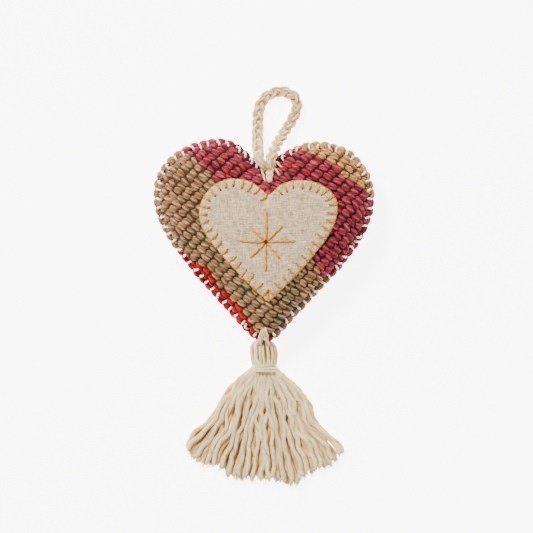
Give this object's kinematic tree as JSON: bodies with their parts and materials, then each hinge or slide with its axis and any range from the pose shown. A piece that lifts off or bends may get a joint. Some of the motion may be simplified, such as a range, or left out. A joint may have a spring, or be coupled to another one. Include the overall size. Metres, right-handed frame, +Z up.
{
  "type": "embroidered heart ornament",
  "caption": "Stuffed heart of striped woven cloth with a stitched felt heart and star on its front, a braided hanging loop and a yarn tassel.",
  "frame": {"origin": "bottom centre of the ornament's box, measured without its hanging loop, as it lies on its back", "axes": "+Z up out of the front of the heart, +Y from the tassel towards the hanging loop, +X to the right of someone who looks at the front"},
  "size_m": [0.1032, 0.1854, 0.0248],
  "materials": {
    "striped_cloth": "coarse hand-woven wool, striped in red, tan, raspberry and golden tan",
    "white_thread": "twisted white sewing thread",
    "felt": "oatmeal wool felt, flecked",
    "gold_thread": "gold embroidery thread with a soft shine",
    "cream_yarn": "soft cream wool yarn with a few gold filaments"
  },
  "bodies": {
    "root": {"woven_front": "striped_cloth", "woven_back": "striped_cloth", "edge_stitches": "white_thread", "felt_heart": "felt", "blanket_stitching": "gold_thread", "star_embroidery": "gold_thread", "hanging_loop": "cream_yarn", "loop_stitches": "cream_yarn", "tassel_tie": "cream_yarn", "tassel": "cream_yarn", "tassel_binding": "cream_yarn"}
  },
  "joints": []
}
